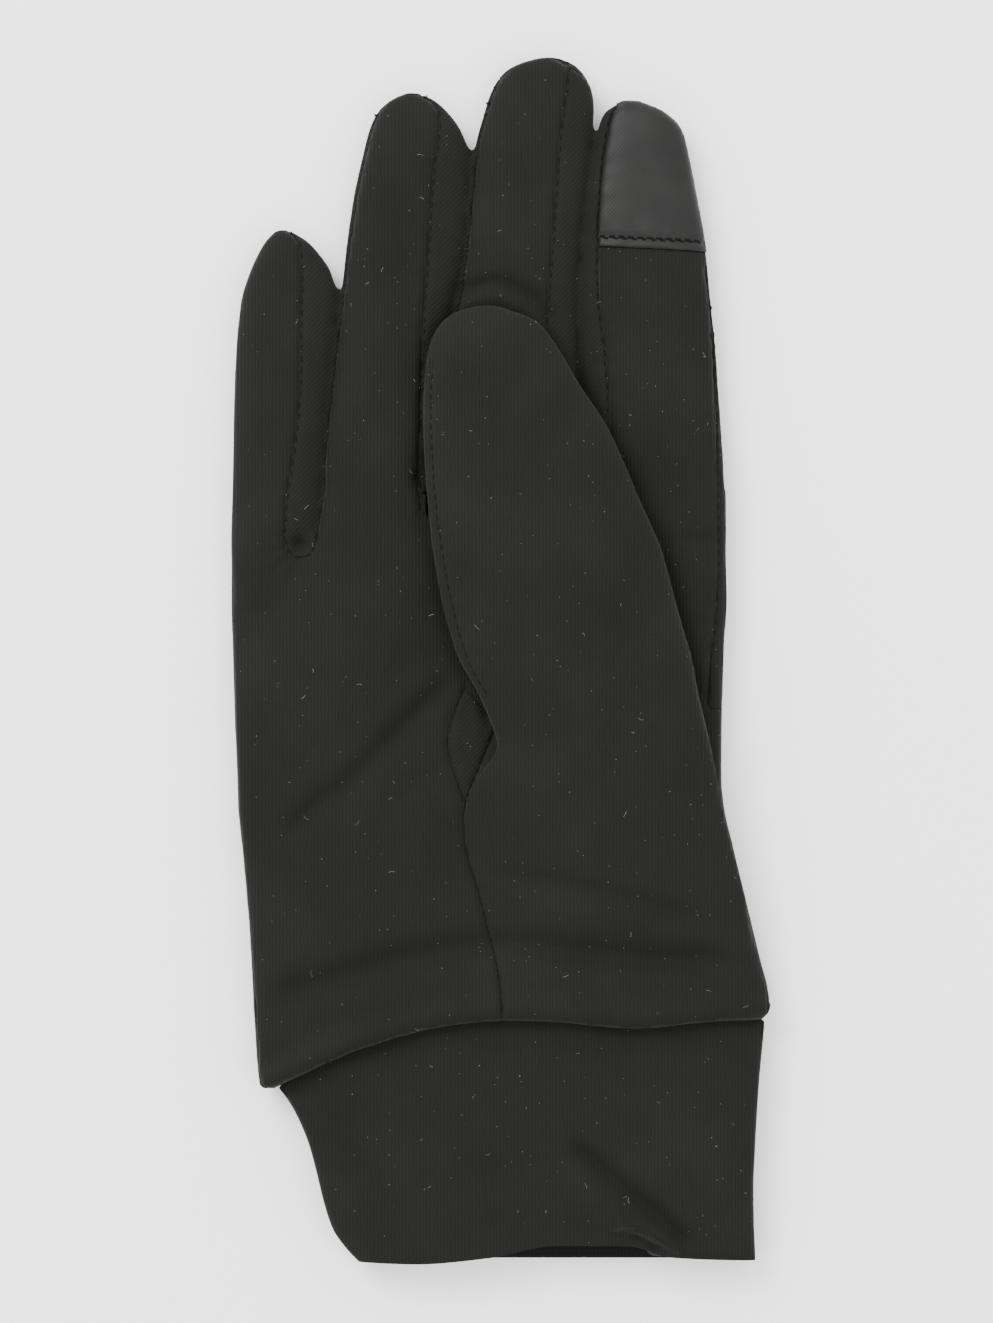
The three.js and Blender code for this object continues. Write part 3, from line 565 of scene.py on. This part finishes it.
# Relief of the sewn cloth, along the skin's normals: each seam lies in a groove with puckers
relief = {"groove": 0.45, "grooveSpread": 0.65, "pucker": 0.08, "puckerSpread": 2.6,
          "puckerPitch": 4.6, "reach": 9, "gathers": 0.2, "swell": 0.14}
lift = np.zeros(len(points))
sewn = [*stripSeams.values(), thumbSeam, gussetSeam, sideSeam, patchStitches, thumbEdgeSeam]
for line in sewn:
    signed, _, travel = lineDistance(points, line)
    away = np.abs(signed)
    carrier = onThumb & (normals[:, 2] > 0.1) if line is thumbEdgeSeam else plainUpper
    where = carrier & (away < relief["reach"])
    groove = -relief["groove"] * np.exp(-(away / relief["grooveSpread"]) ** 2)
    pucker = relief["pucker"] * wave(travel + 0.8 * wave(travel, 17), relief["puckerPitch"])
    pucker *= np.exp(-(away / relief["puckerSpread"]) ** 2)
    lift += np.where(where, groove + pucker, 0)
# Line, depth, spread and the ridge beside it
creases = {
    "heel": ([(-7.1, 69), (-14, 64), (-20, 58), (-30, 48), (-39, 41), (-45, 34)], 1.25, 2.1, 0.6),
    "wrist": ([(-48, 4), (-34, 8), (-20, 12), (0, 15), (20, 13), (50, 11)], 2.2, 3.0, 0.0),
    "wristUpper": ([(-4, 30), (14, 27), (30, 23), (44, 19)], 1.3, 2.2, 0.45),
    "web": ([(-5.5, 52), (-12, 50), (-20, 44), (-26, 34)], 0.35, 2.2, 0.2),
    "gussetFold": ([(-6.6, 67.5), (-6.9, 63), (-7.2, 59)], 1.4, 0.8, 0.4),
    "tipFold": ([(-11, 142.5), (-7, 146), (-1, 147.4), (4, 145.8), (9.5, 140.5), (12, 136)],
                1.3, 1.7, 0.3),
    "gussetRidge": ([(-5.6, 66), (-4.0, 61), (-5.5, 55)], -0.6, 1.3, 0.0),
}
# Centre, depth and spread of the dark pockets
pockets = {"littleFork": (-40.0, 95.4, 2.0, 1.6), "ringFork": (-16.0, 108.6, 1.0, 1.6),
           "gussetCorner": (-1.8, 62.0, 1.5, 2.0), "besideThumb": (-14.8, 112, 0.6, 2.4)}
for px, py, depth, spread in pockets.values():
    away = np.hypot(points[:, 0] - px, points[:, 1] - py)
    lift -= np.where(plainUpper, depth * np.exp(-(away / spread) ** 2), 0)
# Gathers fan out on the palm side of the first fork
fanX, fanY = points[:, 0] + 40.0, points[:, 1] - 94.5
fanReach = np.hypot(fanX, fanY)
fanTurn = np.arctan2(fanY, -fanX)
gathers = relief["gathers"] * np.sin(11 * fanTurn) * np.exp(-((fanReach - 5) / 2.6) ** 2)
lift += np.where(plainUpper & (np.abs(fanTurn) < 1.3), gathers, 0)
# The cloth is never quite flat
x, y = points[:, 0], points[:, 1]
swell = wave(x + 0.4 * y, 31) * wave(y - 0.3 * x, 43, 1.1) + 0.6 * wave(x - 0.7 * y, 19, 2.0)
lift += np.where(normals[:, 2] > 0.5, relief["swell"] * swell, 0)
for line, depth, spread, ridge in creases.values():
    signed, _, travel = lineDistance(points, spline(line))
    length = np.hypot(*(np.diff(np.array(line), axis=0)).T).sum()
    fade = smooth(0, 8, travel) * smooth(0, 10, length - travel)
    valley = -depth * np.exp(-(signed / spread) ** 2)
    shoulder = ridge * np.exp(-((signed + 2 * spread) / (1.6 * spread)) ** 2)
    lift += np.where(plainUpper, (valley + shoulder) * fade, 0)
points += normals * lift[:, None]
hemGap = points[:, 1] - hemY(points[:, 0])
bulge = hand["hemBulge"] * np.exp(-((hemGap - 2.6) / 2.6) ** 2)
points[:, 2] += np.where(normals[:, 2] > 0.2, bulge, 0)
roll = hand["hemRoll"] * np.exp(-(np.maximum(hemGap, 0) / hand["hemRoll"]) ** 2)
points -= normals * roll[:, None]
# The cut edges run smooth: points between two labels slide towards their neighbours there
sides = np.concatenate([corners[:, [k, (k + 1) % 4]] for k in range(4)])
owners = np.unique(label, return_inverse=True)[1]
owners = np.tile(owners, 4)
order = np.lexsort((sides.max(1), sides.min(1)))
pairs, owners = np.sort(sides, 1)[order], owners[order]
same = np.all(pairs[1:] == pairs[:-1], axis=1) & (owners[1:] != owners[:-1])
seams = pairs[:-1][same]
for _ in range(8):
    total, count = np.zeros_like(points), np.zeros(len(points))
    for one, other in ((0, 1), (1, 0)):
        np.add.at(total, seams[:, one], points[seams[:, other]])
        np.add.at(count, seams[:, one], 1)
    plain = count == 2
    points[plain] = 0.5 * points[plain] + 0.25 * total[plain]
setPoints(skin, points)
print("skin shaped")

skinTree = BVHTree.FromObject(skin, bpy.context.evaluated_depsgraph_get())


def panel(name):
    chosen = corners[label == name]
    used, renumbered = np.unique(chosen, return_inverse=True)
    faces = renumbered.reshape(-1, 4).tolist()
    raised = hand["filmRaised"] if name == "touch_patch" else 0.0
    piece = makeMesh(name + "_cloth", points[used] + raised * normals[used], faces)
    applyModifier(piece, "SOLIDIFY", thickness=hand["cloth"] * mm, offset=-1)
    if name == "back_panel":
        applyModifier(piece, "DECIMATE", ratio=hand["backShare"])
    shadeSmooth(piece)
    print(piece.name, len(piece.data.polygons), "faces")
    return piece


cloths = {name: panel(name) for name in np.unique(label) if name}
bpy.data.objects.remove(skin)


# Folds are lines, depths and spreads, measured down from the hem
def cuffShape():
    left, right, height = (column(cuff, key) for key in ("left", "right", "height"))
    folds = {
        "diagonal": ([(13, 24), (18, 27.6), (24.1, 33.2), (30.3, 38), (35.5, 43.4)], 2.6, 2.1),
        "diagonalRidge": ([(17, 33), (21, 37.5), (25.5, 41.5), (29, 45)], -1.3, 2.2),
        "lip": ([(22.5, 44), (24.5, 41), (27.5, 41), (31, 44), (35.5, 46.6)], -1.3, 0.9),
        "underLip": ([(25.5, 44.6), (28, 45.6), (31, 47)], 1.3, 1.1),
        "sideValley": ([(-33, 24), (-24, 33), (-20, 42)], 1.1, 4.0),
        "mouthSwell": ([(-14, 40), (0, 36), (12, 38)], -1.0, 4.0),
        "wrinkle": ([(-41, 15.5), (-38, 18.5)], 0.4, 1.0),
    }
    mouthRise = curveThrough([-31, -17, -2, 11, 21, 26, 34, 51],
                             [0, -0.4, 0.9, 3.3, 3.3, 3.2, 1.0, 0.2])
    rings = []
    for along in np.concatenate([np.linspace(-0.12, 0.85, 60), np.linspace(0.85, 1, 16)[1:]]):
        inside = smooth(0.015, -0.015, along)
        reach = -cuff["length"] * along
        edgeLeft = -cuff["width"] * left(along)
        edgeRight = cuff["width"] * right(along)
        tuck = cuff["tuck"] * inside
        ring = sectionRing(
            edgeLeft + tuck, edgeRight - tuck, cuff["thickness"] / 2,
            lambda x, y: np.full_like(x, cuff["thickness"] * float(height(along))), tuck,
            lambda x: reach + hemY(x) * (1 - max(along, 0)), cuff["roundness"], 130,
            hand["undersideFlatness"])
        onTop = ring[:, 2] > cuff["thickness"] / 2
        for line, depth, spread in folds.values():
            flipped = np.array(line) * (1, -1)
            signed, _, travel = lineDistance(ring, spline(flipped, 20))
            fade = smooth(0, 2.5 * spread, travel + 0.4)
            ring[:, 2] -= np.where(onTop, depth * fade * np.exp(-(signed / spread) ** 2), 0)
        ring[:, 2] -= np.where(onTop, cuff["pressed"] * smooth(0.22, 0.03, along), 0)
        ring[:, 1] += np.where(onTop, mouthRise(ring[:, 0]) * smooth(0.8, 1, along), 0)
        rings.append(ring)
    rings = rings[::-1]
    return makeMesh("cuff_cloth", np.concatenate(rings),
                    ringFaces(len(rings), len(rings[0]), closed=False))


cloths["cuff"] = cuffShape()
applyModifier(cloths["cuff"], "SOLIDIFY", thickness=cuff["cloth"] * mm, offset=-1)
shadeSmooth(cloths["cuff"])
print("cuff shaped")


# Height of the cloth below a point, where it faces up enough
def heightOn(tree, x, y, facingUp):
    above = (np.array([x, y, 40]) + frameShift) * mm
    hit, facing, _, _ = tree.ray_cast(Vector(above), Vector((0, 0, -1)))
    return None if hit is None or facing.z < facingUp else hit.z / mm


# Stitches: short threads laid along a seam, each a small capsule
stitch = {"length": 1.4, "pitch": 2.3, "radius": 0.15, "sides": 6,
          "along": (0, 0.15, 0.5, 0.85, 1), "girth": (0.35, 0.9, 1, 0.9, 0.35)}


def stitchRow(line, offset, pitch, length, radius, onTop=False, raised=0.0):
    run = np.concatenate([[0], np.cumsum(np.hypot(*np.diff(line, axis=0).T))])
    rows, faces = [], []
    for start in np.arange(pitch / 2, run[-1] - pitch / 2, pitch):
        ends = [np.array([np.interp(start + s, run, line[:, i]) for i in (0, 1)])
                for s in (0, length)]
        along = (ends[1] - ends[0]) / max(np.linalg.norm(ends[1] - ends[0]), 1e-6)
        aside = np.array([-along[1], along[0]])
        spine = []
        for share in stitch["along"]:
            spot = ends[0] + (ends[1] - ends[0]) * share + aside * offset
            if not onTop and spot[1] > 62 and insideThumb(*spot) > -0.6:
                break
            if spot[1] < hemY(spot[0]) + 0.6:
                break
            height = heightOn(skinTree, *spot, 0.3)
            if height is None:
                break
            spine.append([*spot, height + raised])
        if len(spine) < len(stitch["along"]):
            continue
        base = len(rows)
        for k, (spot, girth) in enumerate(zip(spine, stitch["girth"])):
            sink = 0.25 * radius if 0 < k < 4 else radius
            for side in range(stitch["sides"]):
                turn = 2 * math.pi * side / stitch["sides"]
                out = aside * math.cos(turn) * radius * girth
                rows.append([spot[0] + out[0], spot[1] + out[1],
                             spot[2] - sink + math.sin(turn) * radius * girth])
        faces += [tuple(base + i for i in face)
                  for face in ringFaces(len(spine), stitch["sides"])]
    return rows, faces


# The seam up the left side of the ring and middle fingers is out of sight
shownPart = seamSteps["finger"] + seamSteps["fork"]
# Line, offset, pitch, length, radius, whether on the thumb, and raised by
stitchRows = [
    *[(line if pair[1] == "index" else line[:shownPart], 0.25, stitch["pitch"], stitch["length"],
       stitch["radius"]) for pair, line in stripSeams.items()],
    # The thumb and gusset rows run on without gaps: a dark thread line laid where the seam's fold
    # lies in shade, painted shade
    (thumbSeam, 0.1, 1.5, 1.7, 0.12),
    (sideSeam, 0.2, stitch["pitch"], stitch["length"], stitch["radius"]),
    (thumbEdgeSeam, 0.15, 2.0, 1.5, 0.15, True),
    (gussetSeam, 0.1, 1.5, 1.7, 0.12),
    (patchStitches, 0.15, 1.9, 1.5, 0.34, False, hand["filmRaised"]),
    (patchStitches + (0.9, 0), -0.25, 1.9, 1.2, 0.3, False, hand["filmRaised"]),
]
rows, faces = [], []
for settings in stitchRows:
    newRows, newFaces = stitchRow(*settings)
    faces += [tuple(i + len(rows) for i in face) for face in newFaces]
    rows += newRows
stitches = makeMesh("seam_stitches_and_painted_seam_shade", rows, faces)
shadeSmooth(stitches)
print("stitches laid:", len(faces), "faces")

# Lint: pale specks and short curved fibres, each a thin three-sided tube
lint = {"fibres": 85, "specks": 620, "seed": 11, "steps": 6, "sides": 3,
        "fibreLength": (0.5, 1.7), "speckLength": (0.08, 0.2),
        "fibreRadius": (0.018, 0.032), "speckRadius": (0.035, 0.085)}
draw = np.random.default_rng(lint["seed"]).uniform
cuffTree = BVHTree.FromObject(cloths["cuff"], bpy.context.evaluated_depsgraph_get())


def surfaceHeight(x, y):
    return heightOn(skinTree if y > hemY(x) + 0.4 else cuffTree, x, y, 0.5)


def lintPieces():
    rows, faces = [], []
    left, right = fingerFrame("little")[0](0) - 8, handWidth * 0.52
    for number in range(lint["fibres"] + lint["specks"]):
        kind = "fibre" if number < lint["fibres"] else "speck"
        length, radius = draw(*lint[kind + "Length"]), draw(*lint[kind + "Radius"])
        x, y = draw(left, right), draw(-45, 190)
        turn, bend = draw(0, 2 * math.pi), draw(-2.2, 2.2)
        base = len(rows)
        for step in range(lint["steps"]):
            z = surfaceHeight(x, y)
            if z is None:
                break
            for side in range(lint["sides"]):
                angle = 2 * math.pi * side / lint["sides"]
                rows.append([x - math.sin(turn) * radius * math.cos(angle),
                             y + math.cos(turn) * radius * math.cos(angle),
                             z + radius * (0.6 + math.sin(angle))])
            x += math.cos(turn) * length / lint["steps"]
            y += math.sin(turn) * length / lint["steps"]
            turn += bend / lint["steps"]
        if len(rows) < base + lint["sides"] * lint["steps"]:
            del rows[base:]
            continue
        faces += [tuple(base + i for i in face)
                  for face in ringFaces(lint["steps"], lint["sides"])]
    return rows, faces


fluff = makeMesh("lint_fibres", *lintPieces())
print("lint scattered:", len(fluff.data.polygons), "faces")


def linear(hexColour):
    channels = [int(hexColour[i:i + 2], 16) / 255 for i in (1, 3, 5)]
    return [c / 12.92 if c <= 0.04045 else ((c + 0.055) / 1.055) ** 2.4 for c in channels] + [1]


def addNode(tree, kind, settings=None, values=None, links=None):
    node = tree.nodes.new(kind)
    for key, value in (settings or {}).items():
        setattr(node, key, value)
    for key, value in (values or {}).items():
        node.inputs[key].default_value = value
    for key, source in (links or {}).items():
        tree.links.new(source, node.inputs[key])
    return node


def startMaterial(name, roughness, specular):
    material = bpy.data.materials.new(name)
    material.use_nodes = True
    tree = material.node_tree
    shader = tree.nodes["Principled BSDF"]
    shader.inputs["Roughness"].default_value = roughness
    shader.inputs["Specular IOR Level"].default_value = specular
    return material, tree, shader, addNode(tree, "ShaderNodeTexCoord")


def bandScale(pitch):
    return 2 * math.pi / (20 * pitch * mm)


# Polyester and elastane jersey, circular knitted and brushed inside: fine upright wales in
# relief, with painted shade in their grooves and a painted highlight on their tops, and a soft
# matt sheen. The real wales are 0.35 mm apart and are drawn 0.7 mm apart so that they show.
knit = {"pitch": 0.7, "grain": 0.5, "patch": 18, "dark": "#0f0f0e", "light": "#181817"}


def knitMaterial(name, turn):
    material, tree, shader, coords = startMaterial(name, 0.85, 0.08)
    placed = addNode(tree, "ShaderNodeMapping", values={"Rotation": (0, 0, math.radians(turn))},
                     links={"Vector": coords.outputs["Object"]})
    wales = addNode(tree, "ShaderNodeTexWave", {"wave_type": "BANDS", "bands_direction": "X"},
                    {"Scale": bandScale(knit["pitch"]), "Distortion": 1.2,
                     "Detail": 2, "Detail Scale": 1.5}, {"Vector": placed.outputs[0]})
    grain = addNode(tree, "ShaderNodeTexNoise",
                    values={"Scale": 1 / (knit["grain"] * mm), "Detail": 3},
                    links={"Vector": placed.outputs[0]})
    patches = addNode(tree, "ShaderNodeTexNoise",
                      values={"Scale": 1 / (knit["patch"] * mm), "Detail": 2},
                      links={"Vector": coords.outputs["Object"]})
    height = addNode(tree, "ShaderNodeMix", {"data_type": "FLOAT"}, {"Factor": 0.45},
                     {"A": wales.outputs["Fac"], "B": grain.outputs["Fac"]})
    bump = addNode(tree, "ShaderNodeBump", values={"Strength": 0.6, "Distance": 0.18 * mm},
                   links={"Height": height.outputs["Result"]})
    shade = addNode(tree, "ShaderNodeMix", {"data_type": "RGBA", "blend_type": "MIX"},
                    {"A": linear(knit["dark"]), "B": linear(knit["light"])},
                    {"Factor": patches.outputs["Fac"]})
    # Painted shade and highlight: the colour is darker in the grooves between the wales and
    # lighter on their tops; the grain mixed in adds random tone
    ribShade = addNode(tree, "ShaderNodeMapRange", values={"To Min": 0.74, "To Max": 1.2},
                   links={"Value": height.outputs["Result"]})
    ribShadedColour = addNode(tree, "ShaderNodeVectorMath", {"operation": "MULTIPLY"},
                     links={0: shade.outputs["Result"], 1: ribShade.outputs["Result"]})
    tree.links.new(ribShadedColour.outputs["Vector"], shader.inputs["Base Color"])
    tree.links.new(bump.outputs["Normal"], shader.inputs["Normal"])
    shader.inputs["Sheen Weight"].default_value = 0.03
    shader.inputs["Sheen Roughness"].default_value = 0.5
    return material


# Polyurethane film laminated on the jersey: smooth, mid grey and satin, with faint creases
def filmMaterial():
    material, tree, shader, coords = startMaterial("polyurethane film", 0.5, 0.16)
    cloud = addNode(tree, "ShaderNodeTexNoise", values={"Scale": 1 / (7 * mm), "Detail": 4},
                    links={"Vector": coords.outputs["Object"]})
    turned = addNode(tree, "ShaderNodeMapping", values={"Rotation": (0, 0, math.radians(40))},
                     links={"Vector": coords.outputs["Object"]})
    twill = addNode(tree, "ShaderNodeTexWave", {"wave_type": "BANDS", "bands_direction": "X"},
                    {"Scale": bandScale(0.55), "Distortion": 0.6},
                    {"Vector": turned.outputs[0]})
    weave = addNode(tree, "ShaderNodeMix", {"data_type": "FLOAT"}, {"Factor": 0.12},
                    {"A": cloud.outputs["Fac"], "B": twill.outputs["Fac"]})
    bump = addNode(tree, "ShaderNodeBump", values={"Strength": 0.5, "Distance": 0.45 * mm},
                   links={"Height": weave.outputs["Result"]})
    shade = addNode(tree, "ShaderNodeMix", {"data_type": "RGBA"},
                    {"A": linear("#0a0a0a"), "B": linear("#1c1c1b")},
                    {"Factor": cloud.outputs["Fac"]})
    tree.links.new(shade.outputs["Result"], shader.inputs["Base Color"])
    tree.links.new(bump.outputs["Normal"], shader.inputs["Normal"])
    return material


# A matt fibre in two mottled shades: the thread, spun polyester and kept darker than the jersey
# as painted shade of the seams, and the lint
def fibreMaterial(name, mottle, dark, light, specular):
    material, tree, shader, coords = startMaterial(name, 0.9, specular)
    clouds = addNode(tree, "ShaderNodeTexNoise", values={"Scale": 1 / (mottle * mm)},
                     links={"Vector": coords.outputs["Object"]})
    shade = addNode(tree, "ShaderNodeMix", {"data_type": "RGBA"},
                    {"A": linear(dark), "B": linear(light)}, {"Factor": clouds.outputs["Fac"]})
    tree.links.new(shade.outputs["Result"], shader.inputs["Base Color"])
    return material


jersey = knitMaterial("polyester jersey", 0)
biasJersey = knitMaterial("polyester jersey on the bias", 45)
film = filmMaterial()
for name, piece in cloths.items():
    if name == "touch_patch":
        piece.data.materials.append(film)
    elif name.startswith("fourchette") or name == "thumb_gusset":
        piece.data.materials.append(biasJersey)
    else:
        piece.data.materials.append(jersey)
    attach(piece, "root")
    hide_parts(name)
# The thread is darker than the jersey: its own black with painted shade of the seam grooves added
stitches.data.materials.append(
    fibreMaterial("polyester thread with painted seam shade", 0.3, "#050505", "#0e0e0e", 0.1))
fluff.data.materials.append(fibreMaterial("cotton lint", 4, "#4a4a47", "#8c8c86", 0.5))
for piece in (stitches, fluff):
    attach(piece, "root")
print("materials given")

# Pale table, camera straight above as in the photograph, soft light from the upper left
studio = {"table": 3.0, "tableColour": "#f8f8f8", "lens": 120, "sensor": 36,
          "frameHeight": 264.6, "aim": (-0.8, -0.6, 8), "sky": 2.4, "skyColour": "#ffffff"}
bpy.ops.mesh.primitive_plane_add(size=studio["table"], location=(0, 0, -0.0004))
table = bpy.context.object
table.name = "table_top"
paper = bpy.data.materials.new("matt paper")
paper.use_nodes = True
paperShader = paper.node_tree.nodes["Principled BSDF"]
paperShader.inputs["Base Color"].default_value = linear(studio["tableColour"])
paperShader.inputs["Roughness"].default_value = 0.9
table.data.materials.append(paper)

cameraData = bpy.data.cameras.new("camera")
cameraData.lens = studio["lens"]
camera = bpy.data.objects.new("camera", cameraData)
bpy.context.scene.collection.objects.link(camera)
aimX, aimY, aimZ = studio["aim"]
distance = studio["frameHeight"] * studio["lens"] / studio["sensor"]
camera.location = (aimX * mm, aimY * mm, (aimZ + distance) * mm)
bpy.context.scene.camera = camera


def areaLight(name, place, size, power):
    data = bpy.data.lights.new(name, "AREA")
    data.shape, data.size, data.energy = "DISK", size, power
    light = bpy.data.objects.new(name, data)
    bpy.context.scene.collection.objects.link(light)
    light.location = place
    light.rotation_euler = (-Vector(place)).to_track_quat("-Z", "Y").to_euler()


areaLight("softbox", (-0.7, 0.8, 1.1), 0.9, 30)
areaLight("fill", (0.9, -0.2, 1.4), 1.4, 5)
world = bpy.data.worlds.new("studio")
bpy.context.scene.world = world
world.use_nodes = True
sky = world.node_tree.nodes["Background"]
sky.inputs["Color"].default_value = linear(studio["skyColour"])
sky.inputs["Strength"].default_value = studio["sky"]
